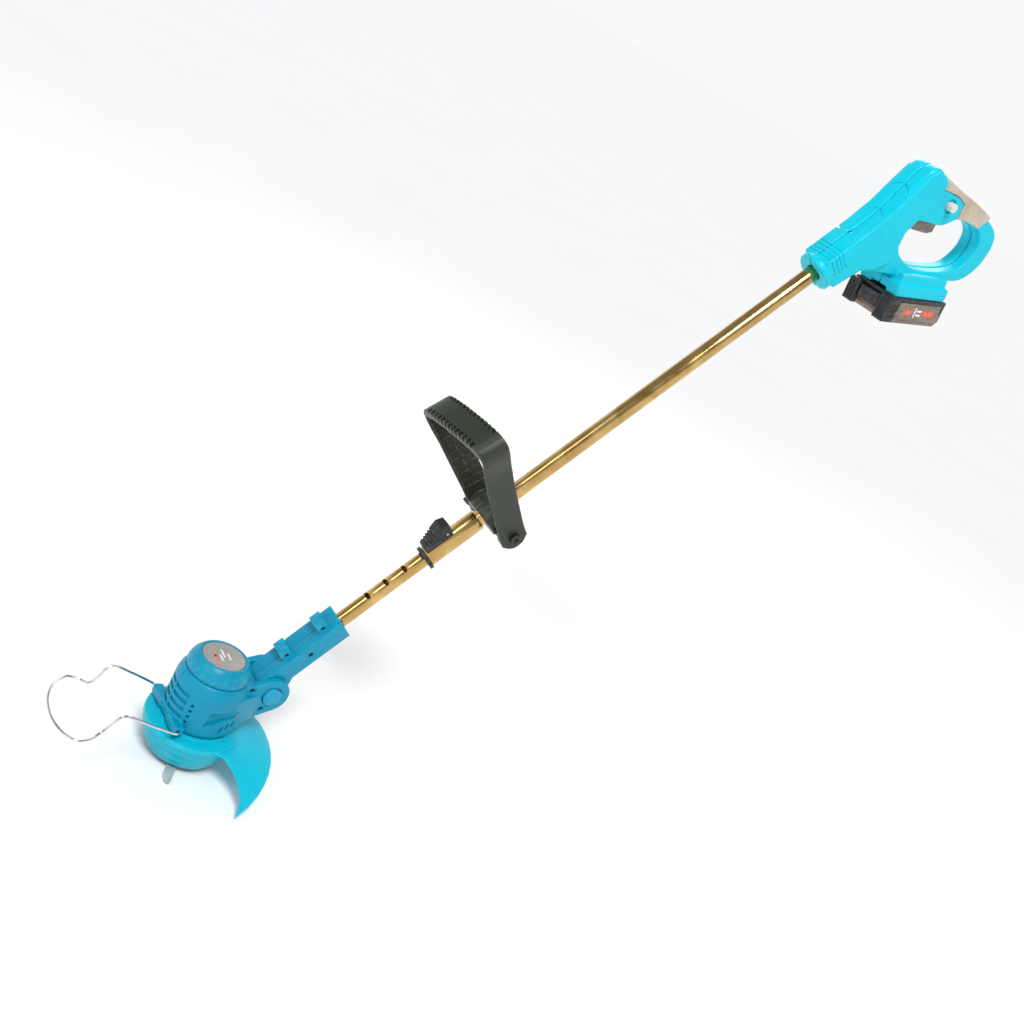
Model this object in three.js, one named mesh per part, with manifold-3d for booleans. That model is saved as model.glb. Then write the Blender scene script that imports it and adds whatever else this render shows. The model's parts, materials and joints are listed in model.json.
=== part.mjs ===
// Cordless string trimmer: tilting cutter head, telescopic shaft, loop handle,
// trigger handle and slide-on battery. Millimetres, +Z up.
// The origin is on the ground under the spindle, +Z is the spindle axis and +X points
// towards the operator. The shaft and everything behind it are drawn along X in their
// own group, which is then pitched up about the head's pivot.
import * as THREE from 'three';
import { mergeVertices } from 'three/addons/utils/BufferGeometryUtils.js';
import Module from 'manifold-3d';

const wasm = await Module();
wasm.setup();

// Driving dimensions
const GAP = 0.3; // clearance between touching pieces
const BIG = 400; // longer than any cut
const SHAFT_PITCH = THREE.MathUtils.degToRad(55); // shaft above the cutting plane
const BATTERY_PITCH = THREE.MathUtils.degToRad(44); // battery rails below the shaft line
const LOOP_LEAN = THREE.MathUtils.degToRad(8); // loop handle, back from square
const PIVOT = { x: 70, z: 110 }; // tilt pivot, in the head's frame
const PIVOT_ON_SHAFT = { x: -121, z: -9 }; // the same pivot, in the shaft's frame
const LOBE_RADIUS = 23.5;
const CHEEK_INNER = 18.4;
const CHEEK_OUTER = 27;
const BARREL_RADIUS = 45;
const BARREL_BASE = 54;
const BARREL_TOP = 123.7;
const SPINDLE_RADIUS = 4;
const BLADE_ANGLE = THREE.MathUtils.degToRad(-124); // where the blade points at rest
const BLADE_PIN_REACH = 24;
const INNER_TUBE = { outer: 9.5, bore: 8, from: -78, to: 330 };
const MAIN_TUBE = { outer: 10.5, bore: 9.8, from: 131, to: 828 };
const SLEEVE = { outer: 13.5, bore: 10.8, from: 132, to: 210 };
const NOTCH = { first: 45, pitch: 28, count: 5, width: 7, depth: 3.5 };
const LOOP = { x: 232, z: -19, width: 36, thickness: 4.5, slant: 0.12 };
const BATTERY_ORIGIN = { x: 849, z: -156 }; // bottom of the battery, below its middle
const BATTERY = { front: -52, rear: 60, side: 37, top: 36 };
const FOOT_TOP = 66;
const CELL = { radius: 9, pitch: 19.2, count: 5 };

const paint = (color, roughness, metalness = 0) =>
  new THREE.MeshStandardMaterial({ color, roughness, metalness });
const TEAL = paint('#18b8dc', 0.42);
const TEAL_DARK = paint('#0f8fc0', 0.45);
const BLACK = paint('#2c2e2b', 0.5);
const OLIVE = paint('#3f453a', 0.48);
const BRONZE = paint('#8a7a6c', 0.6);
const GRIP = paint('#a39384', 0.75);
const GREY = paint('#96968c', 0.5);
const PALE = paint('#dfdad0', 0.4);
const GOLD = paint('#c79c5a', 0.22, 1);
const CHROME = paint('#c8c8ca', 0.12, 1);
const STEEL = paint('#8d9094', 0.35, 1);
const CLEAR = paint('#b9c3c4', 0.3);

// Solids
function solid(geometry) {
  geometry.deleteAttribute('normal');
  geometry.deleteAttribute('uv');
  const merged = mergeVertices(geometry, 1e-3);
  const vertProperties = new Float32Array(merged.attributes.position.array);
  const triVerts = new Uint32Array(merged.index.array);
  if (signedVolume(vertProperties, triVerts) < 0) {
    for (let i = 0; i < triVerts.length; i += 3) {
      [triVerts[i], triVerts[i + 1]] = [triVerts[i + 1], triVerts[i]];
    }
  }
  return new wasm.Manifold(new wasm.Mesh({ numProp: 3, vertProperties, triVerts }));
}

function signedVolume(positions, triangles) {
  const corner = (i) => new THREE.Vector3().fromArray(positions, 3 * triangles[i]);
  let volume = 0;
  for (let i = 0; i < triangles.length; i += 3) {
    volume += corner(i).dot(corner(i + 1).cross(corner(i + 2)));
  }
  return volume;
}

function geometryOf(body) {
  const mesh = body.getMesh();
  const geometry = new THREE.BufferGeometry();
  geometry.setAttribute('position', new THREE.BufferAttribute(mesh.vertProperties, 3));
  geometry.setIndex(new THREE.BufferAttribute(mesh.triVerts, 1));
  geometry.computeVertexNormals();
  return geometry;
}

function block(x0, x1, y0, y1, z0, z1) {
  const box = new THREE.BoxGeometry(x1 - x0, y1 - y0, z1 - z0);
  return solid(box.translate((x0 + x1) / 2, (y0 + y1) / 2, (z0 + z1) / 2));
}

// A round bar along one axis; a and b are its centre in the other two, in X, Y, Z order.
function bar(axis, radius, from, to, a = 0, b = 0, sides = 24) {
  const rod = new THREE.CylinderGeometry(radius, radius, to - from, sides);
  const middle = (from + to) / 2;
  if (axis === 'x') return solid(rod.rotateZ(Math.PI / 2).translate(middle, a, b));
  if (axis === 'y') return solid(rod.translate(a, middle, b));
  return solid(rod.rotateX(Math.PI / 2).translate(a, b, middle));
}

// A body of revolution about Z; the profile is a closed list of [radius, height].
function turned(profile, sides = 32) {
  const points = profile.map(([radius, height]) => new THREE.Vector2(radius, height));
  if (profile[0][0] > 0) points.push(points[0].clone());
  return solid(new THREE.LatheGeometry(points, sides).rotateX(Math.PI / 2));
}

// An outline in X and Z, as thick as y0 to y1.
function plate(shape, y0, y1, curveSegments = 12) {
  const geometry = new THREE.ExtrudeGeometry(shape, { depth: y1 - y0, bevelEnabled: false, curveSegments });
  return solid(geometry.rotateX(Math.PI / 2).translate(0, y1, 0));
}

// An outline in Y and Z, as long as x0 to x1.
function slab(shape, x0, x1) {
  const geometry = new THREE.ExtrudeGeometry(shape, { depth: x1 - x0, bevelEnabled: false });
  const turn = new THREE.Matrix4().set(0, 0, 1, x0, 1, 0, 0, 0, 0, 1, 0, 0, 0, 0, 0, 1);
  return solid(geometry.applyMatrix4(turn));
}

const toVectors = (points) => points.map(([a, b]) => new THREE.Vector2(a, b));
const polygon = (points) => new THREE.Shape(toVectors(points));

function smoothOutline(points, steps) {
  const corners = toVectors(points);
  const curve = new THREE.SplineCurve([...corners, corners[0]]);
  return new THREE.Shape(curve.getPoints(steps));
}

const halfSpace = (side) => (side < 0 ? block(-BIG, 1200, -BIG, -GAP / 2, -BIG, BIG)
  : block(-BIG, 1200, GAP / 2, BIG, -BIG, BIG));

function add(parent, name, material, body) {
  const mesh = new THREE.Mesh(geometryOf(body), material);
  mesh.name = name;
  parent.add(mesh);
}

// Groups: the head stands in the row frame, the shaft is pitched about the pivot.
const trimmer = new THREE.Group();
const head = new THREE.Group();
const shaft = new THREE.Group();
shaft.rotation.y = -SHAFT_PITCH;
const pivotOffset = new THREE.Vector3(PIVOT_ON_SHAFT.x, 0, PIVOT_ON_SHAFT.z);
pivotOffset.applyEuler(shaft.rotation);
shaft.position.set(PIVOT.x - pivotOffset.x, 0, PIVOT.z - pivotOffset.z);
const clamp = new THREE.Group();
clamp.position.x = LOOP.x;
const loop = new THREE.Group();
loop.position.z = LOOP.z;
loop.rotation.y = LOOP_LEAN;
clamp.add(loop);
const battery = new THREE.Group();
battery.position.set(BATTERY_ORIGIN.x, 0, BATTERY_ORIGIN.z);
battery.rotation.y = BATTERY_PITCH;
shaft.add(clamp, battery);
trimmer.add(head, shaft);

// Cutter: spindle, disc, nut, pin and one swinging plastic blade
function makeCutter() {
  add(head, 'spindle', STEEL, bar('z', SPINDLE_RADIUS, 1, 80));
  const discHole = bar('z', SPINDLE_RADIUS + 0.35, -BIG, BIG);
  const pinX = BLADE_PIN_REACH * Math.cos(BLADE_ANGLE);
  const pinY = BLADE_PIN_REACH * Math.sin(BLADE_ANGLE);
  const disc = turned([[0, 5.3], [30, 5.3], [33, 7], [33, 9], [31, 10.5], [0, 10.5]])
    .add(bar('z', 11, 9, 30))
    .subtract(discHole)
    .subtract(bar('z', 3.3, 0, 14, pinX, pinY, 16));
  add(head, 'cutter_disc', TEAL_DARK, disc);
  add(head, 'disc_nut', STEEL, bar('z', 8, 0, 5, 0, 0, 6).subtract(bar('z', SPINDLE_RADIUS + GAP, 0.6, BIG)));
  add(head, 'blade_pin', STEEL, bar('z', 3, 2.4, 10.2, pinX, pinY, 16));
  const outline = new THREE.Shape();
  outline.absarc(0, 0, 6.5, Math.PI / 2, 1.5 * Math.PI);
  outline.lineTo(34, -5.5);
  outline.quadraticCurveTo(48, -4, 50, 3);
  outline.lineTo(48, 6);
  outline.closePath();
  const cut = new THREE.ExtrudeGeometry(outline, { depth: 1.6, bevelEnabled: false });
  const blade = solid(cut.rotateZ(BLADE_ANGLE).translate(pinX, pinY, 3.3))
    .subtract(bar('z', 3.3, 0, 20, pinX, pinY, 16));
  add(head, 'cutting_blade', CLEAR, blade);
}

// Guard: a stepped skirt round the cutter with one crescent wing sweeping to the left.
function crescentWing() {
  const alongSteps = 14;
  const outSteps = 5;
  const thickness = 2.8;
  const point = (u, v) => {
    const near = -70 - 23 * (1 - v) ** 8 - 8 * v ** 6;
    const far = 52 + 30 * (1 - v) ** 4;
    const angle = THREE.MathUtils.degToRad(near + u * (far - near));
    const reach = 98 + 30 * (1 - u) ** 2.4;
    const radius = 52 + v * (reach - 52);
    const droop = (10 + 30 * (1 - u) ** 3) * v ** 1.5;
    return [radius * Math.cos(angle), radius * Math.sin(angle), 49 - droop];
  };
  const positions = [];
  for (const drop of [0, thickness]) {
    for (let i = 0; i <= alongSteps; i += 1) {
      for (let j = 0; j <= outSteps; j += 1) {
        const [x, y, z] = point(i / alongSteps, j / outSteps);
        positions.push(x, y, z - drop);
      }
    }
  }
  const row = outSteps + 1;
  const layer = (alongSteps + 1) * row;
  const index = [];
  const quad = (a, b, c, d) => index.push(a, b, c, a, c, d);
  for (let i = 0; i < alongSteps; i += 1) {
    for (let j = 0; j < outSteps; j += 1) {
      const a = i * row + j;
      quad(a, a + 1, a + row + 1, a + row);
      quad(layer + a, layer + a + row, layer + a + row + 1, layer + a + 1);
    }
    const inner = i * row;
    const outer = inner + outSteps;
    quad(inner, inner + row, layer + inner + row, layer + inner);
    quad(outer, layer + outer, layer + outer + row, outer + row);
  }
  for (let j = 0; j < outSteps; j += 1) {
    const end = alongSteps * row + j;
    quad(j, layer + j, layer + j + 1, j + 1);
    quad(end, end + 1, layer + end + 1, layer + end);
  }
  const geometry = new THREE.BufferGeometry();
  geometry.setAttribute('position', new THREE.Float32BufferAttribute(positions, 3));
  geometry.setIndex(index);
  return solid(geometry);
}

function makeGuard() {
  const skirt = turned([
    [12, 48], [44, 48], [54, 42], [52, 32], [47, 20], [42, 9], [46, 9], [50, 19], [53, 21],
    [55.5, 31], [58, 33], [59, 41], [61, 43], [61, 50], [46, 51.5], [46, 53], [12, 53],
  ]);
  add(head, 'blade_guard', TEAL, skirt.add(crescentWing()));
}

// Motor housing: a round barrel and a forked arm, split down the middle
function housingBody() {
  const barrel = turned([
    [0, BARREL_BASE], [42, BARREL_BASE], [BARREL_RADIUS, 58], [BARREL_RADIUS, 110],
    [43, 118], [39, BARREL_TOP], [0, BARREL_TOP],
  ]);
  const side = new THREE.Shape();
  side.moveTo(0, BARREL_BASE);
  side.lineTo(12, BARREL_BASE);
  side.absarc(PIVOT.x, PIVOT.z, LOBE_RADIUS, THREE.MathUtils.degToRad(-62), THREE.MathUtils.degToRad(105));
  side.lineTo(40, BARREL_TOP);
  side.lineTo(0, BARREL_TOP);
  const flareOutline = [[-22, 38], [0, 44], [20, 42.5], [56, CHEEK_OUTER]];
  const flare = new THREE.ExtrudeGeometry(
    polygon([...flareOutline, ...flareOutline.map(([x, y]) => [x, -y]).reverse()]),
    { depth: 54, bevelEnabled: false },
  );
  let body = barrel.add(plate(side, -CHEEK_OUTER, CHEEK_OUTER, 20))
    .add(solid(flare.translate(0, 0, 58)).intersect(plate(side, -46, 46, 20)));
  for (const ear of [-1, 1]) {
    const [near, far] = ear < 0 ? [-41, -10] : [10, 41];
    body = body.add(block(-46, -34, near, far, 57, 68));
  }
  const slot = bar('y', LOBE_RADIUS + 1, -CHEEK_INNER, CHEEK_INNER, PIVOT.x, PIVOT.z, 40);
  return body
    .subtract(slot)
    .subtract(block(45, 130, -CHEEK_INNER, CHEEK_INNER, 96, 160))
    .subtract(bar('z', 38, 60, 120.5, 0, 0, 40))
    .subtract(bar('z', 11.3, 40, 70))
    .subtract(bar('y', 4.3, -BIG, BIG, PIVOT.x, PIVOT.z, 20))
    .subtract(bar('y', 12.4, -BIG, -CHEEK_INNER, PIVOT.x, PIVOT.z))
    .subtract(bar('y', 12.4, 24.5, BIG, PIVOT.x, PIVOT.z))
    .subtract(bar('y', 2.2, -BIG, BIG, -40, 62, 12))
    .subtract(bar('y', 3.4, -BIG, BIG, 40, 117, 16))
    .subtract(bar('y', 3.4, -BIG, BIG, 63, 90, 16));
}

function makeHousing() {
  const body = housingBody();
  add(head, 'motor_housing_left', TEAL, body.intersect(halfSpace(-1)));
  add(head, 'motor_housing_right', TEAL, body.intersect(halfSpace(1)));
  add(head, 'motor_cap', TEAL, turned([
    [0, 124], [38, 124], [39.5, 127], [39.5, 132], [37, 139], [33, 144], [30.5, 146.5],
    [27.6, 146.5], [27.6, 144], [0, 144],
  ]));
  add(head, 'cap_badge', GREY, bar('z', 27, 144.3, 146, 0, 0, 40));
  add(head, 'motor_can', STEEL, bar('z', 24, 60.5, 118).subtract(bar('z', 4.4, 40, 84, 0, 0)));
  add(head, 'spindle_bearing', STEEL, bar('z', 11, 53.8, 59.8).subtract(bar('z', 4.3, 0, 80)));
  add(head, 'pivot_pin', STEEL, bar('y', 4, -20, 24, PIVOT.x, PIVOT.z, 20));
  add(head, 'pivot_cap', TEAL_DARK, bar('y', 12, 24.8, 28.5, PIVOT.x, PIVOT.z));
  const button = bar('y', 12, -29.5, -25, PIVOT.x, PIVOT.z).add(bar('y', 8, -26, -24.5, PIVOT.x, PIVOT.z));
  add(head, 'tilt_button', TEAL_DARK, button);
  add(head, 'housing_screw_1', BLACK, bar('y', 3, -23, 23, 40, 117, 12));
  add(head, 'housing_screw_2', BLACK, bar('y', 3, -23, -19, 63, 90, 12));
}

// Plant guard: one bent wire whose ends hook into the housing's ears
function makeWireGuard() {
  const half = [
    [-40, 35, 62], [-40, 42, 62], [-42, 45, 62.5], [-76, 45, 75], [-107, 45, 86.5], [-112, 45, 86.5],
    [-116, 44.5, 83], [-127, 43, 63], [-131, 44, 59.5], [-143, 53, 59], [-156, 56, 58.5],
    [-169, 46, 58], [-180, 24, 58],
  ];
  const lead = 0.13; // the left side is bent a little further forward
  const place = ([x, y, z]) => new THREE.Vector3(x + (x < -60 ? lead * y : 0), y, z);
  const left = half.map(([x, y, z]) => place([x, -y, z]));
  const right = half.map(place).reverse();
  const path = new THREE.CatmullRomCurve3([...left, new THREE.Vector3(-183, 0, 58), ...right]);
  const section = new THREE.Shape().absarc(0, 0, 1.7, 0, 2 * Math.PI);
  const wire = new THREE.ExtrudeGeometry(section, {
    steps: 64, extrudePath: path, curveSegments: 4, bevelEnabled: false,
  });
  add(head, 'wire_guard', CHROME, solid(wire));
}

// Neck: two shells clamped on the lower tube, with a tongue for the tilt pivot
function makeNeck() {
  const side = new THREE.Shape();
  side.moveTo(-2, -13);
  side.lineTo(0, 13);
  side.lineTo(-92, 13);
  side.absarc(PIVOT_ON_SHAFT.x, PIVOT_ON_SHAFT.z, 22, THREE.MathUtils.degToRad(75), THREE.MathUtils.degToRad(-75));
  side.lineTo(-88, -13);
  let body = plate(side, -18, 18, 20);
  for (const x of [-22, -76]) {
    body = body.add(block(x - 7, x + 7, -12, 12, 12, 24)).subtract(bar('y', 2.6, -BIG, BIG, x, 18.5, 12));
  }
  body = body
    .subtract(bar('x', INNER_TUBE.outer + GAP, -80, BIG))
    .subtract(bar('y', 4.4, -BIG, BIG, PIVOT_ON_SHAFT.x, PIVOT_ON_SHAFT.z, 20))
    .subtract(bar('y', 3.2, -BIG, BIG, -53, 0, 14));
  add(shaft, 'neck_shell_left', TEAL, body.intersect(halfSpace(-1)));
  add(shaft, 'neck_shell_right', TEAL, body.intersect(halfSpace(1)));
  add(shaft, 'neck_screw_1', BLACK, bar('y', 2.3, -11, 11, -22, 18.5, 12));
  add(shaft, 'neck_screw_2', BLACK, bar('y', 2.3, -11, 11, -76, 18.5, 12));
  add(shaft, 'tube_cross_pin', BLACK, bar('y', 2.9, -16.5, 16.5, -53, 0, 14));
}

// Tubes: the notched lower tube slides in the long main tube
function makeTubes() {
  let lower = bar('x', INNER_TUBE.outer, INNER_TUBE.from, INNER_TUBE.to)
    .subtract(bar('x', INNER_TUBE.bore, -BIG, BIG * 2))
    .subtract(bar('y', 3.3, -BIG, BIG, -53, 0, 14));
  for (let i = 0; i < NOTCH.count; i += 1) {
    const x = NOTCH.first + i * NOTCH.pitch;
    const top = INNER_TUBE.outer;
    const wedge = polygon([
      [x - NOTCH.width / 2, top + 1], [x - NOTCH.width / 2, top - NOTCH.depth + 1],
      [x, top - NOTCH.depth], [x + NOTCH.width / 2, top + 1],
    ]);
    lower = lower.subtract(plate(wedge, -BIG, BIG));
  }
  add(shaft, 'lower_tube', GOLD, lower);
  const slot = block(152, 162, -4, 4, 5, 20);
  const main = bar('x', MAIN_TUBE.outer, MAIN_TUBE.from, MAIN_TUBE.to)
    .subtract(bar('x', MAIN_TUBE.bore, 0, 900));
  add(shaft, 'main_tube', GOLD, main.subtract(slot));
  const sleeve = bar('x', SLEEVE.outer, SLEEVE.from, SLEEVE.to).subtract(bar('x', SLEEVE.bore, 0, 900));
  add(shaft, 'tube_sleeve', GOLD, sleeve.subtract(slot));
  const collar = bar('x', 16, 127, 131.7).subtract(bar('x', INNER_TUBE.outer + 0.6, 0, 900))
    .subtract(bar('x', MAIN_TUBE.outer + GAP, 129, 900));
  add(shaft, 'sleeve_collar', BLACK, collar);
}

function makeLatch() {
  const side = polygon([[134, 14], [168, 14], [175, 18], [176, 31], [166, 35], [156, 31], [135, 20]]);
  const lever = plate(side, -9, 9)
    .add(block(154, 160, -3, 3, 10, 15))
    .subtract(bar('y', 2.3, -BIG, BIG, 168, 19, 12));
  add(shaft, 'latch_lever', BLACK, lever);
  add(shaft, 'lever_pin', STEEL, bar('y', 2, -9, 9, 168, 19, 12));
}

// Loop handle: a wide moulded band bent into a stirrup, clamped below the main tube
function loopOutline(points, thickness) {
  const outer = points.map(([y, z]) => new THREE.Vector2(y, z));
  const full = [...outer, ...outer.slice(0, -1).reverse().map((p) => new THREE.Vector2(-p.x, p.y))];
  const curve = new THREE.SplineCurve(full);
  const samples = 44;
  const centre = curve.getPoints(samples);
  const away = centre.map((p, i) => {
    const tangent = curve.getTangent(i / samples);
    return p.clone().add(new THREE.Vector2(tangent.y, -tangent.x).multiplyScalar(thickness(p.y)));
  });
  return new THREE.Shape([...centre, ...away.reverse()]);
}

function makeLoopHandle() {
  const half = [
    [44, -8], [44, 20], [46, 50], [50, 90], [54, 120], [61, 146], [61, 162], [48, 172], [24, 176], [0, 176.5],
  ];
  const gripBase = 154;
  const wall = (z) => -LOOP.thickness - (z > gripBase ? 9 * Math.min(1, (z - gripBase) / 12) : 0);
  let band = slab(loopOutline(half, wall), -LOOP.width / 2, LOOP.width / 2);
  for (const side of [-1, 1]) {
    const [near, far] = side < 0 ? [-44, -32] : [32, 44];
    band = band.add(bar('y', 18, near, far, 0, 0));
  }
  // The right end of the grip sits further forward than the left
  band = band.warp((point) => {
    point[0] -= LOOP.slant * point[1] * THREE.MathUtils.clamp((point[2] - 20) / 100, 0, 1);
  });
  add(loop, 'loop_handle', OLIVE, band.subtract(bar('y', 3.6, -BIG, BIG)));
}

function makeClamp() {
  const tubeCut = bar('x', MAIN_TUBE.outer + GAP, -BIG, BIG);
  const boltHole = bar('y', 3.5, -BIG, BIG, 0, LOOP.z, 16);
  const base = block(-17, 17, -20, 20, LOOP.z, -GAP)
    .add(bar('y', 15, -31, 31, 0, LOOP.z))
    .add(block(-17, 17, -31, 31, -8, -GAP));
  add(clamp, 'clamp_base', OLIVE, base.subtract(tubeCut).subtract(boltHole));
  const arch = [[-31, GAP], [31, GAP], [31, 4], [14, 16], [-14, 16], [-31, 4]];
  add(clamp, 'clamp_cap', OLIVE, slab(polygon(arch), -17, 17).subtract(tubeCut));
  const bolt = bar('y', 3.2, -45, 56, 0, LOOP.z, 16).add(bar('y', 7, -50, -44.4, 0, LOOP.z, 20));
  add(clamp, 'clamp_bolt', STEEL, bolt.subtract(bar('y', 3, -BIG, -47.5, 0, LOOP.z, 6)));
  const knob = bar('y', 9, 44.5, 54, 0, LOOP.z)
    .add(block(-18, 18, 50, 60, LOOP.z - 3, LOOP.z + 3))
    .subtract(bar('y', 3.6, 0, 57, 0, LOOP.z, 16));
  add(clamp, 'wing_knob', BLACK, knob);
}

// Trigger handle: two shells with a socket for the tube, a hand opening and a battery foot
const HANDLE_OUTLINE = [
  [768, 22], [830, 22], [867, 25], [904, 33.5], [932, 39], [949, 35], [957, 20], [961, 1], [978, -31],
  [998, -65], [1015, -99], [1026, -129], [1025, -148], [1012, -164], [988, -175], [960, -173],
  [935, -155], [905, -128], [872, -96], [845, -70], [824, -48], [808, -34], [770, -25],
];
const HAND_OPENING = [
  [888, -22], [874, -34], [869, -48], [873, -66], [884, -90], [905, -113], [935, -138], [958, -150],
  [984, -146], [999, -131], [998, -108], [984, -84], [966, -66], [942, -58], [920, -36], [905, -22],
];
const GRIP_ZONE = [
  [954, 24], [965, 3], [982, -29], [1002, -63], [1018, -95], [1022, -105], [998, -106], [983, -84],
  [967, -66], [982, -50], [974, -31], [958, -10], [944, 8],
];
const GRIP_CORE = [
  [932, 8], [951, 13], [955, -1], [975, -34], [995, -68], [1010, -101], [1014, -120], [1002, -116],
  [990, -90], [974, -68], [980, -50], [970, -30], [952, -7],
];
const TRIGGER = { x: 903, z: -30, length: 47, angle: THREE.MathUtils.degToRad(-48) };
const LOCK = { x: 958, z: -36, radius: 6 };

// An outline drawn beside the trigger: u runs down its face and v into the handle.
function triggerPlate(points, halfWidth) {
  const cos = Math.cos(TRIGGER.angle);
  const sin = Math.sin(TRIGGER.angle);
  const placed = points.map(([u, v]) => [TRIGGER.x + u * cos - v * sin, TRIGGER.z + u * sin + v * cos]);
  return plate(polygon(placed), -halfWidth, halfWidth);
}

// Solids drawn in the battery's frame, moved into the shaft's frame
function fromBattery(body) {
  const degrees = THREE.MathUtils.radToDeg(BATTERY_PITCH);
  return body.rotate([0, degrees, 0]).translate([BATTERY_ORIGIN.x, 0, BATTERY_ORIGIN.z]);
}

function handleBody() {
  const outline = smoothOutline(HANDLE_OUTLINE, 84);
  const upper = polygon([
    [758, 21], [830, 21], [867, 24], [904, 32], [932, 37], [947, 34], [955, 20], [957, 6], [930, -10],
    [880, -20], [850, -50], [820, -40], [800, -26], [758, -22],
  ]);
  const foot = fromBattery(block(-50, 54, -36, 36, BATTERY.top + GAP, 54).add(block(-44, 50, -30, 30, 50, FOOT_TOP)));
  return plate(outline, -17, 17)
    .add(plate(upper, -23, 23))
    .add(bar('x', 24, 748, 812, 0, 0, 32))
    .add(bar('x', 26.5, 748, 756, 0, 0, 32))
    .add(foot)
    .subtract(bar('x', MAIN_TUBE.outer + GAP, 700, 829))
    .subtract(fromBattery(block(-60, 40, -14.5, 14.5, 30, 41)))
    .subtract(fromBattery(block(0, 30, -15, 15, 40, 58)));
}

const SCREW_SPOTS = [[812, 17.5], [858, 4], [850, -52], [1014, -140]];

// An outline moved outwards by a distance, each corner along its own bisector
function grown(points, distance) {
  const corners = toVectors(points);
  const turn = THREE.ShapeUtils.area(corners) > 0 ? distance : -distance;
  const normal = (a, b) => new THREE.Vector2(b.y - a.y, a.x - b.x).normalize();
  return corners.map((corner, i) => {
    const before = normal(corners.at(i - 1), corner);
    const after = normal(corner, corners[(i + 1) % corners.length]);
    const bisector = before.add(after).normalize();
    const moved = corner.clone().addScaledVector(bisector, turn / Math.max(0.5, bisector.dot(after)));
    return [moved.x, moved.y];
  });
}

// What passes through the handle: the hand, the trigger and the lock button
function handleCuts() {
  const { length } = TRIGGER;
  const pocket = [[-3, -30], [length + 3, -30], [length + 3, 26], [-3, 26]];
  return plate(smoothOutline(HAND_OPENING, 48), -BIG, BIG)
    .add(triggerPlate(pocket, 8))
    .add(bar('y', LOCK.radius + 0.5, -BIG, BIG, LOCK.x, LOCK.z, 20));
}

function makeHandle() {
  let body = handleBody()
    .subtract(plate(polygon(grown(GRIP_ZONE, GAP)), -20, 20))
    .add(plate(polygon(GRIP_CORE), -14, 14))
    .subtract(handleCuts());
  for (const [x, z] of SCREW_SPOTS) {
    body = body.subtract(bar('y', 3.2, -12, BIG, x, z, 12));
  }
  add(shaft, 'handle_shell_left', TEAL, body.intersect(halfSpace(-1)));
  add(shaft, 'handle_shell_right', TEAL, body.intersect(halfSpace(1)));
  const grip = plate(polygon(GRIP_ZONE), -18, 18)
    .subtract(plate(polygon(grown(GRIP_CORE, GAP)), -14 - GAP, 14 + GAP))
    .subtract(handleCuts());
  add(shaft, 'grip_overmold', GRIP, grip);
  SCREW_SPOTS.forEach(([x, z], i) => {
    add(shaft, `handle_screw_${i + 1}`, BLACK, bar('y', 2.8, -11, 14, x, z, 12));
  });
}

function makeControls() {
  const length = TRIGGER.length;
  const face = [[0, -4], [8, -7], [length - 10, -7], [length, -3], [length, 13], [0, 13]];
  add(shaft, 'trigger', BRONZE, triggerPlate(face, 7.4));
  const spring = triggerPlate([[20, 13.4], [27, 13.4], [27, 25.6], [20, 25.6]], 3.5);
  add(shaft, 'trigger_spring', STEEL, spring);
  add(shaft, 'lock_button', PALE, bar('y', LOCK.radius, -25, 25, LOCK.x, LOCK.z, 20));
}

// Battery: rails on the upper case, five cells, bumpers and a release button at the front
function makeBattery() {
  const { front, rear, side, top } = BATTERY;
  const cavity = block(front + 4, rear - 4, -side + 3, side - 3, 3, top - 3);
  const outline = polygon([[front + 5, 0], [rear - 8, 0], [rear, 8], [rear, top], [front, top], [front, 6]]);
  const releasePocket = block(front - 1, front + 3, -18.5, 18.5, 11.5, 30.5);
  const whole = plate(outline, -side, side).subtract(cavity).subtract(releasePocket);
  const seam = 18;
  add(battery, 'battery_case_lower', BRONZE, whole.intersect(block(-BIG, BIG, -BIG, BIG, -BIG, seam - GAP / 2)));
  const upper = whole.intersect(block(-BIG, BIG, -BIG, BIG, seam + GAP / 2, BIG))
    .add(block(front + 16, 38, -14, 14, top - 1, 40.5));
  add(battery, 'battery_case_upper', BLACK, upper.subtract(block(front + 20, 34, -10, 10, 20, 38)));
  for (let i = 0; i < CELL.count; i += 1) {
    const x = (front + rear) / 2 + (i - (CELL.count - 1) / 2) * CELL.pitch;
    add(battery, `battery_cell_${i + 1}`, GREY, bar('y', CELL.radius, -32.5, 32.5, x, seam, 16));
  }
  for (const [name, sign] of [['left', -1], ['right', 1]]) {
    const edge = (a, b) => (sign < 0 ? [-b, -a] : [a, b]);
    const [n0, n1] = edge(20, side + 2.2);
    const [s0, s1] = edge(side + GAP, side + 2.2);
    const bumper = block(front - 8, front - GAP, n0, n1, 1, 34).add(block(front - 8, front + 13, s0, s1, 1, 34));
    add(battery, `battery_bumper_${name}`, BLACK, bumper);
    const [l0, l1] = edge(side + GAP, side + 1.3);
    add(battery, `battery_label_${name}`, BRONZE, block(front + 16, rear - 9, l0, l1, 6, 30));
  }
  add(battery, 'battery_release', BLACK, block(front - 6, front - GAP, -18, 18, 12, 30));
  add(battery, 'terminal_block', BLACK, block(2, 28, -13, 13, 45.5, 56));
}

makeCutter();
makeGuard();
makeHousing();
makeWireGuard();
makeNeck();
makeTubes();
makeLatch();
makeLoopHandle();
makeClamp();
makeHandle();
makeControls();
makeBattery();

export default trimmer;
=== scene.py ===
"""Looks, light and camera for a cordless string trimmer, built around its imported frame.

The frame, the lights and the camera are in metres; pieces and cutters are drawn in millimetres.
"""
import json
import math

import bmesh
import bpy
from mathutils import Matrix, Vector
from mathutils.bvhtree import BVHTree

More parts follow.
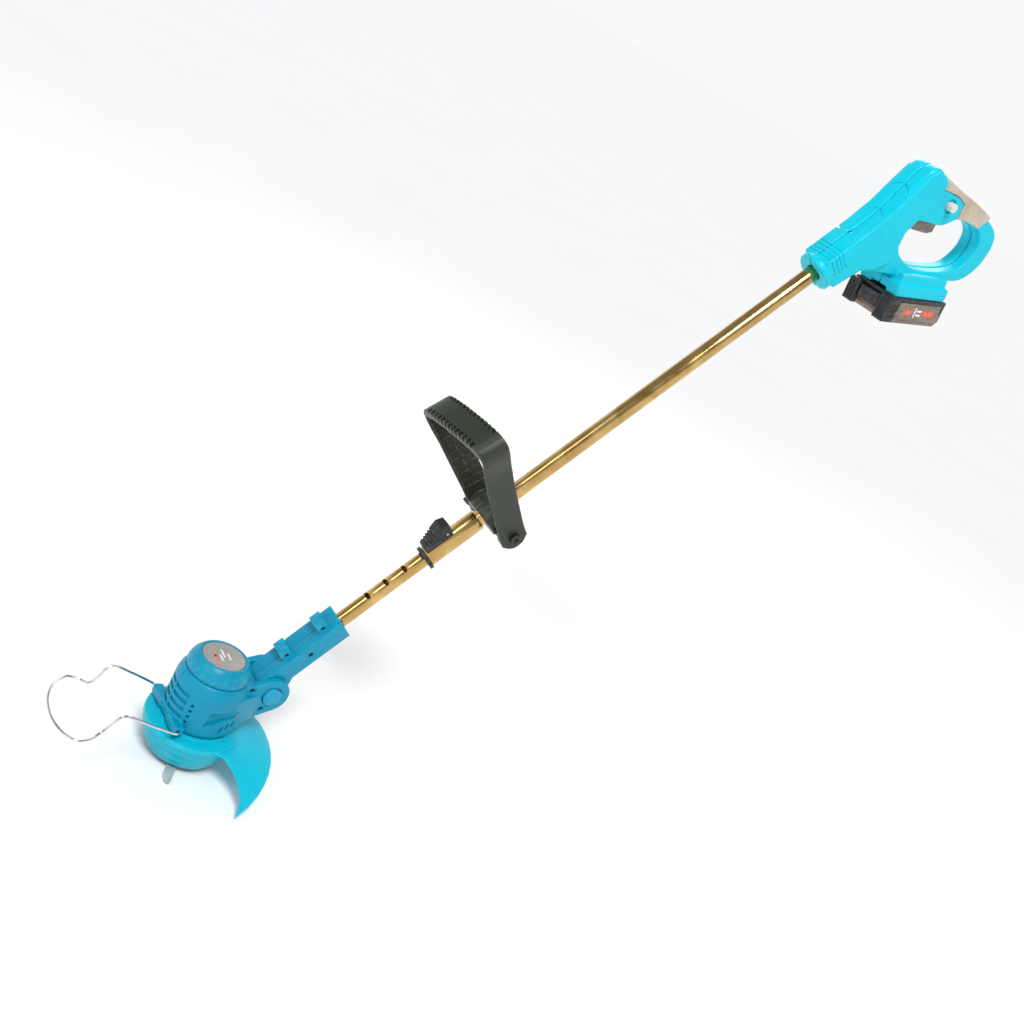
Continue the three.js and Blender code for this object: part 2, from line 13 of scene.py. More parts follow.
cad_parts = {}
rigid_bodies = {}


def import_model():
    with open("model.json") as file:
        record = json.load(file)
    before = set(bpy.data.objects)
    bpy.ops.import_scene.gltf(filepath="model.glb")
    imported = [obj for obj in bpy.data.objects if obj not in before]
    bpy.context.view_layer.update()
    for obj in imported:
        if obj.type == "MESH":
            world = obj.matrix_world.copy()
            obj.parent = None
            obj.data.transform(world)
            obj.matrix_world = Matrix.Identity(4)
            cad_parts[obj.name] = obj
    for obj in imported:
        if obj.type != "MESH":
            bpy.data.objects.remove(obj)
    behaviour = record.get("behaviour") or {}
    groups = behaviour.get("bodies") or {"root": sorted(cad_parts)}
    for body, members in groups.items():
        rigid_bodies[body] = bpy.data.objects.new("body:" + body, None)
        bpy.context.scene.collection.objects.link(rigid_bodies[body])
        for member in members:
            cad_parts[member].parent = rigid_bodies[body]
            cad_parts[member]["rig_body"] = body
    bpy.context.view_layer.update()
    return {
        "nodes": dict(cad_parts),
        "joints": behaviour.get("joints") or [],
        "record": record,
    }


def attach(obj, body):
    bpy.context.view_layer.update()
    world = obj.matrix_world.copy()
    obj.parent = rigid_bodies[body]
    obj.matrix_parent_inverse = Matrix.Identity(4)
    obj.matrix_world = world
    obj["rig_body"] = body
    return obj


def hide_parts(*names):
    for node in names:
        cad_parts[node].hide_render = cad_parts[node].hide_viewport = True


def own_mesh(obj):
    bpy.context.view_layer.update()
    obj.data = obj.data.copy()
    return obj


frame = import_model()

MM = 0.001
NODES = frame["nodes"]
JOINTS = {j["name"]: j for j in frame["joints"]}
SLOT_OF = {s["node"]: s["material_slot"] for s in frame["record"]["subparts"]}
SIDES = (("left", -1), ("right", 1))
ROW_FRAME = Matrix.Identity(4)

# The shaft's own frame: x up the tube from the neck, y across, z out of the tube's top
TUBE_AXIS = Vector(JOINTS["telescope_slide"]["axis"])
PITCH = math.atan2(TUBE_AXIS.z, TUBE_AXIS.x)
HEAD_PIVOT = Vector(JOINTS["head_tilt"]["pos_m"])
PIVOT_ON_SHAFT = Vector((-0.121, 0, -0.009))
SHAFT = (Matrix.Translation(HEAD_PIVOT) @ Matrix.Rotation(-PITCH, 4, "Y")
         @ Matrix.Translation(-PIVOT_ON_SHAFT))

# The loop handle's own frame: y along its bolt, z from the bolt up to its grip
LOOP_BOLT = Vector(JOINTS["loop_handle_tilt"]["pos_m"])
LOOP_LEAN = math.radians(8)
GRIP_SLANT = 0.12
LOOP_PLACE = (Matrix.Translation(LOOP_BOLT) @ Matrix.Rotation(-PITCH, 4, "Y")
              @ Matrix.Rotation(LOOP_LEAN, 4, "Y"))

# The battery's own frame: x along it, y across, z from its bottom up to its rails
BATTERY_BOTTOM = (0.849, 0, -0.156)
BATTERY_PITCH = math.radians(44)
BATTERY_PLACE = (SHAFT @ Matrix.Translation(BATTERY_BOTTOM)
                 @ Matrix.Rotation(BATTERY_PITCH, 4, "Y"))


# ---------------------------------------------------------------- materials

class Graph:
    """A material's node tree with short calls for the nodes used here."""

    def __init__(self, name, turn=(0, 0, 0)):
        self.material = bpy.data.materials.new(name)
        self.material.use_nodes = True
        self.tree = self.material.node_tree
        self.tree.nodes.clear()
        self.out = self.tree.nodes.new("ShaderNodeOutputMaterial")
        self.shader = self.tree.nodes.new("ShaderNodeBsdfPrincipled")
        self.tree.links.new(self.shader.outputs[0], self.out.inputs["Surface"])
        self.place = self.tree.nodes.new("ShaderNodeTexCoord").outputs["Object"]
        if any(turn):
            mapping = self.tree.nodes.new("ShaderNodeMapping")
            mapping.inputs["Rotation"].default_value = turn
            self.tree.links.new(self.place, mapping.inputs["Vector"])
            self.place = mapping.outputs[0]

    def set(self, **values):
        for name, value in values.items():
            self.shader.inputs[name.replace("_", " ")].default_value = value

    def link(self, source, name):
        self.tree.links.new(source, self.shader.inputs[name])

    def noise(self, scale, detail=3.0, stretch=(1, 1, 1), distortion=0.0):
        mapping = self.tree.nodes.new("ShaderNodeMapping")
        mapping.inputs["Scale"].default_value = stretch
        node = self.tree.nodes.new("ShaderNodeTexNoise")
        node.inputs["Scale"].default_value = scale
        node.inputs["Detail"].default_value = detail
        node.inputs["Distortion"].default_value = distortion
        self.tree.links.new(self.place, mapping.inputs["Vector"])
        self.tree.links.new(mapping.outputs[0], node.inputs["Vector"])
        return node.outputs["Fac"]

    def cells(self, scale):
        node = self.tree.nodes.new("ShaderNodeTexVoronoi")
        node.inputs["Scale"].default_value = scale
        self.tree.links.new(self.place, node.inputs["Vector"])
        return node.outputs["Distance"]

    def edges(self):
        """1 along worn outer edges, 0 elsewhere."""
        geometry = self.tree.nodes.new("ShaderNodeNewGeometry")
        return self.span(geometry.outputs["Pointiness"], 0.505, 0.58)

    def span(self, value, low, high, to_low=0, to_high=1):
        """The value with its stretch from low to high mapped onto to_low to to_high."""
        node = self.tree.nodes.new("ShaderNodeMapRange")
        limits = {"From Min": low, "From Max": high, "To Min": to_low, "To Max": to_high}
        for name, number in limits.items():
            node.inputs[name].default_value = number
        self.tree.links.new(value, node.inputs["Value"])
        return node.outputs["Result"]

    def math(self, operation, a, b):
        node = self.tree.nodes.new("ShaderNodeMath")
        node.operation = operation
        node.use_clamp = True
        for socket, value in zip(node.inputs, (a, b)):
            if isinstance(value, (int, float)):
                socket.default_value = value
            else:
                self.tree.links.new(value, socket)
        return node.outputs[0]

    def mix(self, factor, a, b):
        node = self.tree.nodes.new("ShaderNodeMix")
        node.data_type = "RGBA"
        self.tree.links.new(factor, node.inputs["Factor"])
        for socket, value in ((node.inputs[6], a), (node.inputs[7], b)):
            if isinstance(value, tuple):
                socket.default_value = (*value, 1)
            else:
                self.tree.links.new(value, socket)
        return node.outputs[2]

    def bump(self, height, strength, distance, under=None):
        node = self.tree.nodes.new("ShaderNodeBump")
        node.inputs["Strength"].default_value = strength
        node.inputs["Distance"].default_value = distance
        self.tree.links.new(height, node.inputs["Height"])
        if under is not None:
            self.tree.links.new(under, node.inputs["Normal"])
        return node.outputs[0]


DUST = (0.55, 0.52, 0.45)


def moulded(name, dark, base, worn, rough=(0.3, 0.45), grain=0.1, specular=0.4):
    """Moulded plastic: slow colour drift, pale worn edges, dust in streaks, a fine grain."""
    g = Graph(name)
    colour = g.mix(g.span(g.noise(9, 2), 0.3, 0.72), dark, base)
    wear = g.math("MULTIPLY", g.edges(), g.span(g.noise(160, 5), 0.45, 0.62, 0.05, 0.4))
    colour = g.mix(wear, colour, worn)
    streaks = g.span(g.noise(140, 8, stretch=(1, 1, 3), distortion=0.4), 0.62, 0.8, 0, 0.05)
    dusty = tuple(0.5 * a + 0.5 * b for a, b in zip(worn, DUST))
    g.link(g.mix(streaks, colour, dusty), "Base Color")
    g.link(g.span(g.noise(90, 6), 0.3, 0.7, *rough), "Roughness")
    scratch = g.bump(g.noise(420, 3, stretch=(1, 14, 1)), 0.03, 0.0002)
    g.link(g.bump(g.cells(1400), grain, 0.00025, scratch), "Normal")
    g.set(IOR=1.46, Specular_IOR_Level=specular)
    return g.material


def metal(name, dark, base, rough, stretch=(1, 1, 1), turn=(0, 0, 0), line_bump=0.04):
    """Metal with drawn lines along one axis, smudges and faint stains."""
    g = Graph(name, turn)
    lines = g.noise(220, 4, stretch)
    smudge = g.noise(28, 6, distortion=0.6)
    g.link(g.mix(g.span(smudge, 0.35, 0.7), dark, base), "Base Color")
    roughness = g.math("ADD", g.span(smudge, 0.3, 0.75, *rough), g.span(lines, 0.4, 0.7, 0, 0.07))
    g.link(roughness, "Roughness")
    g.link(g.bump(lines, line_bump, 0.0002), "Normal")
    g.set(Metallic=1.0)
    return g.material


def rubber(name, dark, base, worn):
    """Soft overmould: matte, finely pebbled, a little grubby where it is held."""
    g = Graph(name)
    colour = g.mix(g.span(g.noise(22, 5), 0.35, 0.7), dark, base)
    grime = g.span(g.noise(70, 8, distortion=0.8), 0.55, 0.75, 0, 0.35)
    colour = g.mix(grime, colour, tuple(0.62 * c for c in dark))
    colour = g.mix(g.math("MULTIPLY", g.edges(), 0.6), colour, worn)
    g.link(colour, "Base Color")
    g.link(g.span(g.noise(50, 4), 0.3, 0.7, 0.58, 0.8), "Roughness")
    g.link(g.bump(g.cells(1100), 0.3, 0.0004), "Normal")
    g.set(Sheen_Weight=0.15, Sheen_Roughness=0.5)
    return g.material


def nylon(name, dark, base):
    """Semi-clear nylon with a frosted, slightly uneven look."""
    g = Graph(name)
    g.link(g.mix(g.span(g.noise(60, 4), 0.35, 0.7), dark, base), "Base Color")
    g.link(g.span(g.noise(80, 4), 0.3, 0.7, 0.3, 0.5), "Roughness")
    g.link(g.bump(g.noise(500, 3), 0.1, 0.0003), "Normal")
    g.set(Transmission_Weight=0.35, IOR=1.53)
    return g.material


MATERIALS = {
    "teal_plastic": moulded("teal_plastic", (0.0, 0.51, 0.65), (0.0, 0.56, 0.7), (0.1, 0.72, 0.82),
                            rough=(0.3, 0.36), specular=0.25),
    # teal_plastic made a little darker: painted shade on the blade guard
    "guard_teal_painted_shade": moulded("guard_teal_painted_shade", (0.0, 0.4, 0.54), (0.0, 0.44, 0.58), (0.1, 0.64, 0.74),
                          rough=(0.32, 0.4), specular=0.25),
    # teal_plastic darkened: painted shade on the motor housing, its cap and the neck shells
    "teal_painted_shade": moulded("teal_painted_shade", (0.0, 0.23, 0.37), (0.0, 0.27, 0.42), (0.05, 0.5, 0.66),
                         rough=(0.3, 0.38), specular=0.3),
    "dark_teal_plastic": moulded("dark_teal_plastic",
                                 (0.0, 0.24, 0.42), (0.001, 0.3, 0.5), (0.1, 0.48, 0.62)),
    "black_plastic": moulded("black_plastic",
                             (0.014, 0.015, 0.015), (0.02, 0.022, 0.021), (0.16, 0.165, 0.16),
                             rough=(0.36, 0.46), grain=0.2),
    "olive_plastic": moulded("olive_plastic",
                             (0.022, 0.027, 0.017), (0.03, 0.036, 0.024), (0.17, 0.18, 0.15),
                             rough=(0.32, 0.4), grain=0.16),
    "bronze_plastic": moulded("bronze_plastic",
                              (0.15, 0.11, 0.085), (0.2, 0.15, 0.12), (0.56, 0.46, 0.4),
                              rough=(0.34, 0.42), grain=0.18),
    "grip_rubber": rubber("grip_rubber", (0.46, 0.38, 0.29), (0.62, 0.53, 0.43), (0.78, 0.71, 0.62)),
    "badge_grey": moulded("badge_grey", (0.24, 0.24, 0.22), (0.36, 0.36, 0.33), (0.55, 0.55, 0.52)),
    "pale_plastic": moulded("pale_plastic", (0.6, 0.57, 0.51), (0.76, 0.73, 0.67), (0.9, 0.88, 0.84)),
    "cutter_plastic": nylon("cutter_plastic", (0.42, 0.5, 0.5), (0.66, 0.72, 0.72)),
    "cell_wrap": moulded("cell_wrap", (0.05, 0.2, 0.36), (0.08, 0.28, 0.46), (0.3, 0.46, 0.58)),
    "gold_tube": metal("gold_tube", (0.5, 0.31, 0.1), (0.72, 0.5, 0.2), (0.08, 0.2),
                       stretch=(0.04, 1, 1), turn=(0, PITCH, 0)),
    "chrome_wire": metal("chrome_wire", (0.55, 0.55, 0.56), (0.88, 0.88, 0.88), (0.07, 0.25),
                         line_bump=0.02),
    "black_steel": metal("black_steel", (0.03, 0.03, 0.03), (0.09, 0.09, 0.09), (0.3, 0.5)),
    "print_orange": moulded("print_orange", (0.72, 0.07, 0.02), (0.8, 0.1, 0.03), (0.85, 0.3, 0.2)),
    "print_pale": moulded("print_pale", (0.66, 0.64, 0.6), (0.78, 0.76, 0.72), (0.9, 0.88, 0.85)),
    "steel": metal("steel", (0.36, 0.36, 0.37), (0.6, 0.6, 0.61), (0.2, 0.4), stretch=(1, 1, 0.05)),
}


# ------------------------------------------------------------ refining CAD nodes

# Edges sharper than these angles, in degrees, stay hard in the shading
HARD_EDGE = 38
SOFT_HARD_EDGE = 50
DETAIL_HARD_EDGE = 35

WELD = 0.02
SMALL_BEVEL = 0.5
# Bevel width in millimetres of the pieces with rounder edges than the small bevel
BEVELS = {"blade_guard": 1.0, "motor_cap": 1.0, "neck_shell_left": 2.0, "neck_shell_right": 2.0,
          "battery_case_lower": 1.5, "battery_case_upper": 1.5, "trigger": 1.5, "latch_lever": 1.5,
          "clamp_base": 1.2, "clamp_cap": 1.2, "wing_knob": 1.5, "battery_bumper_left": 1.5,
          "battery_bumper_right": 1.5, "battery_release": 1.0}
# Voxel size in millimetres and rounds of smoothing for the pieces with soft, flowing edges
SOFT = {"handle_shell_left": (1.4, 12), "handle_shell_right": (1.4, 12), "grip_overmold": (1.1, 10),
        "loop_handle": (1.1, 9), "motor_housing_left": (1.1, 5), "motor_housing_right": (1.1, 5)}
# Pieces whose material in place differs from the rest of their slot: the clamp bolt is black steel, and the
# darker teals are teal_plastic darkened as painted shade on the head and the guard
LOOK_OR_PAINTED_SHADE_OF = {"motor_housing_left": "teal_painted_shade", "motor_housing_right": "teal_painted_shade",
           "motor_cap": "teal_painted_shade", "neck_shell_left": "teal_painted_shade", "neck_shell_right": "teal_painted_shade",
           "clamp_bolt": "black_steel", "blade_guard": "guard_teal_painted_shade"}


def modifier(obj, kind, **settings):
    added = obj.modifiers.new(kind.title(), kind)
    for name, value in settings.items():
        setattr(added, name, value)


def subtract(obj, cutters, solver):
    for tool in cutters:
        modifier(obj, "BOOLEAN", object=tool, operation="DIFFERENCE", solver=solver)


def baked(obj, cutters=()):
    """The object with its modifiers applied and the cutters that they used removed."""
    bpy.context.view_layer.update()
    graph = bpy.context.evaluated_depsgraph_get()
    mesh = bpy.data.meshes.new_from_object(obj.evaluated_get(graph))
    obj.modifiers.clear()
    obj.data = mesh
    for tool in cutters:
        bpy.data.objects.remove(tool)
    return obj


def shade(obj, material, hard_edge):
    """Gives an object one material and smooth shading between its hard edges."""
    obj.data.materials.clear()
    obj.data.materials.append(material)
    for polygon in obj.data.polygons:
        polygon.use_smooth = True
    obj.data.set_sharp_from_angle(angle=math.radians(hard_edge))


def body_name(node):
    return NODES[node]["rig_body"]


def new_object(name, mesh):
    obj = bpy.data.objects.new(name, mesh)
    bpy.context.scene.collection.objects.link(obj)
    return obj


def copied(node):
    """A copy of a CAD node whose corners are shared between its faces."""
    obj = new_object(node + "_skin", NODES[node].data.copy())
    modifier(obj, "WELD", merge_threshold=WELD * MM)
    return obj


def adopt(obj, node, hard_edge):
    """Gives a finished copy its material and its place in the object."""
    shade(obj, MATERIALS[LOOK_OR_PAINTED_SHADE_OF.get(node, SLOT_OF[node])], hard_edge)
    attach(obj, body_name(node))
    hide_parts(node)


def soften(node, voxel, rounds):
    """A copy of a CAD node remeshed finely, its edges worn round by smoothing, then carved."""
    obj = copied(node)
    modifier(obj, "REMESH", mode="VOXEL", voxel_size=voxel * MM)
    modifier(obj, "SMOOTH", factor=0.5, iterations=rounds)
    baked(obj)
    cutters = carvings(obj, node)
    subtract(obj, cutters, "MANIFOLD")
    baked(obj, cutters)
    adopt(obj, node, SOFT_HARD_EDGE)


def refine(node, width, cutters):
    """A copy of a CAD node with grooves cut by the cutters, then every hard edge rounded."""
    obj = copied(node)
    modifier(obj, "DECIMATE", decimate_type="DISSOLVE", angle_limit=math.radians(2))
    subtract(obj, cutters, "EXACT")
    modifier(obj, "BEVEL", width=width * MM, segments=3, limit_method="ANGLE",
             angle_limit=math.radians(HARD_EDGE))
    baked(obj, cutters)
    adopt(obj, node, HARD_EDGE)


# ------------------------------------------------------- shapes, drawn in millimetres

def prism(points, low, high, axis="Y"):
    """Vertices and faces of an outline drawn across the Y or Z axis, from low to high along it."""
    ends = [(a, b, level) for level in (low, high) for a, b in points]
    vertices = [(a, level, b) if axis == "Y" else (a, b, level) for a, b, level in ends]
    count = len(points)
    faces = [list(range(count)), list(range(2 * count - 1, count - 1, -1))]
    faces += [[i, i + count, (i + 1) % count + count, (i + 1) % count] for i in range(count)]
    return vertices, faces


def brick(x0, x1, y0, y1, z0, z1):
    return prism([(x0, z0), (x1, z0), (x1, z1), (x0, z1)], y0, y1)


def disc(x, z, radius, y0, y1):
    """A round bar along Y."""
    sides = 24
    turns = [math.tau * i / sides for i in range(sides)]
    return prism([(x + radius * math.cos(t), z + radius * math.sin(t)) for t in turns], y0, y1)


def band(inner, outer, z0, z1, start, end, steps=16):
    """A stretch of a flat ring about Z, from one azimuth to another in degrees."""
    angles = [math.radians(start + (end - start) * i / steps) for i in range(steps + 1)]
    rim = [(outer * math.cos(a), outer * math.sin(a)) for a in angles]
    rim += [(inner * math.cos(a), inner * math.sin(a)) for a in reversed(angles)]
    return prism(rim, z0, z1, "Z")


# A direction that no bead runs along
ASIDE = Vector((0.13, 0.21, 0.97))


def tube(points, radius, sides=8, closed=False):
    """A round bead along a line of points."""
    count = len(points)
    vertices, faces = [], []
    for i, point in enumerate(points):
        before = points[i - 1] if i or closed else point
        after = points[(i + 1) % count] if i < count - 1 or closed else point
        along = (after - before).normalized()
        side = along.cross(ASIDE).normalized()
        up = along.cross(side)
        for k in range(sides):
            turn = math.tau * k / sides
            vertices.append(point + (side * math.cos(turn) + up * math.sin(turn)) * radius)
    for i in range(count if closed else count - 1):
        for k in range(sides):
            n = (k + 1) % sides
            j = (i + 1) % count
            faces.append([i * sides + k, i * sides + n, j * sides + n, j * sides + k])
    if not closed:
        faces.append(list(range(sides - 1, -1, -1)))
        faces.append([(count - 1) * sides + k for k in range(sides)])
    return vertices, faces


def mesh_of(name, shapes, place):
    """One mesh from several drawn shapes, moved from millimetres to its place in the row frame."""
    vertices, faces = [], []
    for drawn, loops in shapes:
        first = len(vertices)
        vertices += [place @ (Vector(v) * MM) for v in drawn]
        faces += [[first + i for i in loop] for loop in loops]
    mesh = bpy.data.meshes.new(name)
    mesh.from_pydata(vertices, [], faces)
    mesh.validate()
    work = bmesh.new()
    work.from_mesh(mesh)
    bmesh.ops.recalc_face_normals(work, faces=work.faces)
    work.to_mesh(mesh)
    work.free()
    return mesh


def cutter(shapes, place):
    return new_object("cutter", mesh_of("cutter", shapes, place))


def detail(name, shapes, place, body, material):
    """A separate raised piece that rides on a body."""
    obj = new_object(name, mesh_of(name, shapes, place))
    shade(obj, MATERIALS[material], DETAIL_HARD_EDGE)
    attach(obj, body)
    return obj


class Surface:
    """The skin of one piece, seen from a place of its own in millimetres."""

    def __init__(self, obj, place):
        back = place.inverted()
        vertices = [back @ v.co / MM for v in obj.data.vertices]
        self.tree = BVHTree.FromPolygons(vertices, [p.vertices for p in obj.data.polygons])

    def press(self, points, direction):
        """The points moved along the direction onto the skin, without the ones that miss it."""
        found = [self.tree.ray_cast(Vector(p), Vector(direction))[0] for p in points]
        return [f for f in found if f is not None]


def line(points, step):
    """Points along a run of straight stretches, about a step apart."""
    out = []
    for a, b in zip(points, points[1:]):
        a, b = Vector(a), Vector(b)
        count = max(1, round((b - a).length / step))
        out += [a.lerp(b, i / count) for i in range(count)]
    return out + [Vector(points[-1])]


def middle_of(node):
    """The mean of a CAD node's corners."""
    corners = [v.co for v in NODES[node].data.vertices]
    return sum(corners, Vector()) / len(corners)


# -------------------------------------------------------------- grooves, part by part

def housing_cuts(side):
    """Cooling grooves, a vent strip, a wedge recess and three slots on one side of the housing."""
    outside = 47
    mirror = (lambda a, b: (a, b)) if side < 0 else (lambda a, b: (-b, -a))
    shapes = []
    groove_floor, groove_height = 42.6, 5.5
    for z in (70, 80, 90, 100):
        shapes.append(band(groove_floor, outside, z, z + groove_height, *mirror(-178, -146)))
    vent_floor, vent_height = 41, 4
    for i in range(4):
        z = 68 + 8 * i
        shapes.append(band(vent_floor, outside, z, z + vent_height, *mirror(-137.5, -133), 3))
    shapes.append(prism([(-14, 72), (24, 88), (27, 97), (-12, 94)], *mirror(-50, -39.6)))
    for i in range(3):
        x, z = 8 + 7 * i, 64 + 4 * i
        slot = [(x, z), (x + 3, z + 1), (x + 5, z + 10), (x + 2, z + 9)]
        shapes.append(prism(slot, *mirror(-50, -36)))
    return [cutter([shape], ROW_FRAME) for shape in shapes]


# Where rays towards the handle start, in millimetres from the shaft's line
ABOVE = 80
BESIDE = 60
# Two arches on top of the handle: x of the foot and of the crown, and half the width
ARCHES = ((790, 862, 13), (790, 905, 17))
ARCH_STEPS = 24


def arch(x_foot, x_crown, half_width):
    """A tall arch drawn on the top of the handle, open towards the tube."""
    out = [(x_foot, -half_width)]
    straight = x_crown - half_width
    for i in range(ARCH_STEPS + 1):
        turn = -math.pi / 2 + math.pi * i / ARCH_STEPS
        out.append((straight + half_width * math.cos(turn), half_width * math.sin(turn)))
    return out + [(x_foot, half_width)]


def ring_round(x):
    """Where rays towards the shaft's line start, all round its top and sides."""
    turns = [math.radians(a) for a in range(-100, 101, 8)]
    return [(x, BESIDE * math.sin(t), BESIDE * math.cos(t)) for t in turns]


def handle_grooves(obj, side):
    """Panel lines of one handle shell, pressed on its own skin, and a recess for the lock button."""
    skin = Surface(obj, SHAFT)
    cutters = []

    def groove(points, radius):
        mine = [p for p in points if p.y * side > 0.4]
        if len(mine) > 2:
            cutters.append(cutter([tube(mine, radius)], SHAFT))

    def groove_beside(outline, radius):
        points = line([(x, 0, z) for x, z in outline], 5)
        groove(skin.press([(p.x, side * BESIDE, p.z) for p in points], (0, -side, 0)), radius)

    for x_foot, x_crown, half_width in ARCHES:
        top = line([(x, y, ABOVE) for x, y in arch(x_foot, x_crown, half_width)], 2.5)
        groove(skin.press(top, (0, 0, -1)), 1.3)
    for i in range(4):
        found = []
        for start in ring_round(764 + 6 * i):
            found += skin.press([start], Vector((0, -start[1], -start[2])).normalized())
        groove(found, 1.0)
    groove_beside([(780, 6), (840, 8), (890, 18), (925, 26)], 1.0)
    groove_beside([(905, -148), (960, -192), (990, -200)], 0.7)
    button = SHAFT.inverted() @ middle_of("lock_button") / MM
    recess = disc(button.x, button.z, 10, *sorted((side * 14, side * 40)))
    cutters.append(cutter([recess], SHAFT))
    return cutters


def grip_grooves(obj):
    """Seven bowed grooves on each side of the soft grip."""
    skin = Surface(obj, SHAFT)
    start = Vector((984, 0, -52))
    end = Vector((1014, 0, -101))
    along = (end - start).normalized()
    across = Vector((along.z, 0, -along.x))
    cutters = []
    for side in (1, -1):
        for i in range(7):
            base = start + along * (2 + 6.6 * i)
            bow = [base + across * t + along * (2.5 - 0.011 * t * t) for t in range(-16, 15, 2)]
            found = skin.press([(p.x, side * BESIDE, p.z) for p in bow], (0, -side, 0))
            if len(found) > 2:
                cutters.append(cutter([tube(found, 1.5)], SHAFT))
    return cutters


def loop_slots():
    """Two rows of slots along the edges of the loop handle's grip."""
    slots, pitch, half_width, depth = 13, 7.2, 2.0, 9
    shapes = []
    for edge in (-1, 1):
        for i in range(slots):
            y = (i - (slots - 1) / 2) * pitch
            x = edge * 12 - GRIP_SLANT * y
            shapes.append(brick(*sorted((x, x + edge * depth)), y - half_width, y + half_width, 168.5, 184))
    return [cutter(shapes, LOOP_PLACE)]


def bumper_grooves(side):
    """Upright grooves in a bumper's front and level ones in its side."""
    shapes = []
    for i in range(3):
        y = side * (24.5 + 5 * i)
        shapes.append(brick(-63, -59, *sorted((y, y + side * 2)), 5, 31))
    for z in (9, 16, 23):
        shapes.append(brick(-56, -42, *sorted((side * 38.2, side * 41)), z, z + 3))
    return [cutter(shapes, BATTERY_PLACE)]


def lever_grooves():
    """Four grooves across the latch lever, each one further up its slope."""
    grooves = [brick(140 + 4 * i, 141.6 + 4 * i, -10, 10, 21 + 2.0 * i, 40) for i in range(4)]
    return [cutter(grooves, SHAFT)]


def carvings(obj, node):
    """The cutters for one of the soft pieces."""
    side = 1 if node.endswith("_right") else -1
    if node.startswith("motor_housing"):
        return housing_cuts(side)
    if node.startswith("handle_shell"):
        return handle_grooves(obj, side)
    if node == "grip_overmold":
        return grip_grooves(obj)
    return loop_slots()


# --------------------------------------------------------------- raised pieces

# Height above the loop handle's bolt, and how far its legs' inner faces are from the middle there
LEG_FACES = ((20, 39.5), (50, 41.5), (90, 45.5), (120, 49.5), (146, 56.3))


def leg_inside(z):
    """How far from the middle the loop handle's inner face is, at a height above its bolt."""
    for (z0, y0), (z1, y1) in zip(LEG_FACES, LEG_FACES[1:]):
        if z <= z1:
            return y0 + (y1 - y0) * (z - z0) / (z1 - z0)
    return LEG_FACES[-1][1]


def slant(y, z):
    """How far the loop handle's skew moves a spot along x; it grows with height to its full amount."""
    return -GRIP_SLANT * y * min(1, max(0, (z - 20) / 100))


def loop_ribs():
    """The moulded grid inside both legs of the loop handle."""
    heights = [34 + 12 * i for i in range(10)]
    half_width, half_height, bead = 15, 0.7, 0.8
    for name, side in SIDES:
        shapes = []
        for z in heights:
            y = side * leg_inside(z)
            skew = slant(y, z)
            shapes.append(brick(skew - half_width, skew + half_width, *sorted((y - side * 1.3, y + side)),
                                z - half_height, z + half_height))
        for x in (-half_width, -1.2, 1.2, half_width):
            path = []
            for z in heights:
                y = leg_inside(z)
                path.append(Vector((x + slant(side * y, z), side * (y - 0.3), z)))
            shapes.append(tube(path, bead, 6))
        detail("loop_ribs_" + name, shapes, LOOP_PLACE, "loop", "olive_plastic")


def cap_print():
    """Plain bars in place of the print on the cap."""
    bar, bottom, top = 2.4, 146.0, 146.12
    rows = {"print_orange": [(-13, -7, 17), (-13, 4, 11)],
            "print_pale": [(-6, -3, 12), (-1, 5, 15), (5, -1, 12)]}
    for material, bars in rows.items():
        shapes = [brick(x, x + bar, y - length / 2, y + length / 2, bottom, top) for x, y, length in bars]
        detail("cap_" + material, shapes, ROW_FRAME, "head", material)


def battery_print():
    """An octagonal moulded rim and plain bars on each side of the battery."""
    octagon = [(-28, 8), (42, 8), (48, 13), (48, 24), (42, 28.5), (-28, 28.5), (-34, 24), (-34, 13)]
    for name, side in SIDES:
        face = side * 38.3
        path = line([(x, face, z) for x, z in octagon + octagon[:1]], 4)[:-1]
        rim = tube(path, 0.7, 6, closed=True)
        detail("battery_rim_" + name, [rim], BATTERY_PLACE, "battery", "bronze_plastic")
        skin = sorted((face - side * 0.2, face + side * 0.12))
        orange = [prism([(-24, 14), (-8, 14), (-4, 21), (-16, 21)], *skin), brick(18, 42, *skin, 14, 21)]
        pale = [brick(0, 2.5, *skin, 11, 25), brick(5, 15, *skin, 19, 22), brick(5, 15, *skin, 13, 16)]
        detail("battery_orange_" + name, orange, BATTERY_PLACE, "battery", "print_orange")
        detail("battery_pale_" + name, pale, BATTERY_PLACE, "battery", "print_pale")


def trigger_coil():
    """The trigger's coil spring, in the space of its plain CAD block."""
    turns, per_turn, radius, wire = 6, 16, 2.9 * MM, 0.45
    axis = Vector(JOINTS["trigger_press"]["axis"])
    corners = [v.co for v in NODES["trigger_spring"].data.vertices]
    near = min(corners, key=axis.dot)
    far = max(corners, key=axis.dot)
    middle = middle_of("trigger_spring")
    length = (far - near).dot(axis)
    side = Vector((0, 1, 0))
    across = axis.cross(side)
    points = []
    for i in range(turns * per_turn + 1):
        angle = math.tau * i / per_turn
        rise = (i / (turns * per_turn) - 0.5) * (length - 2 * wire * MM)
        out = (side * math.cos(angle) + across * math.sin(angle)) * radius
        points.append((middle + axis * rise + out) / MM)
    coil = detail("trigger_coil", [tube(points, wire, 6)], ROW_FRAME, "handle", "steel")
    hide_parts("trigger_spring")
    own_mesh(coil)


def dress_nodes():
    """Replaces every CAD node with a finished piece, then adds the raised pieces."""
    for node, (voxel, rounds) in SOFT.items():
        soften(node, voxel, rounds)
    cutters = {"latch_lever": lever_grooves(), "battery_bumper_left": bumper_grooves(-1),
               "battery_bumper_right": bumper_grooves(1)}
    for node in sorted(set(NODES) - set(SOFT) - {"trigger_spring"}):
        refine(node, BEVELS.get(node, SMALL_BEVEL), cutters.get(node, ()))
    loop_ribs()
    cap_print()
    battery_print()
    trigger_coil()


# ------------------------------------------------------------------ the studio

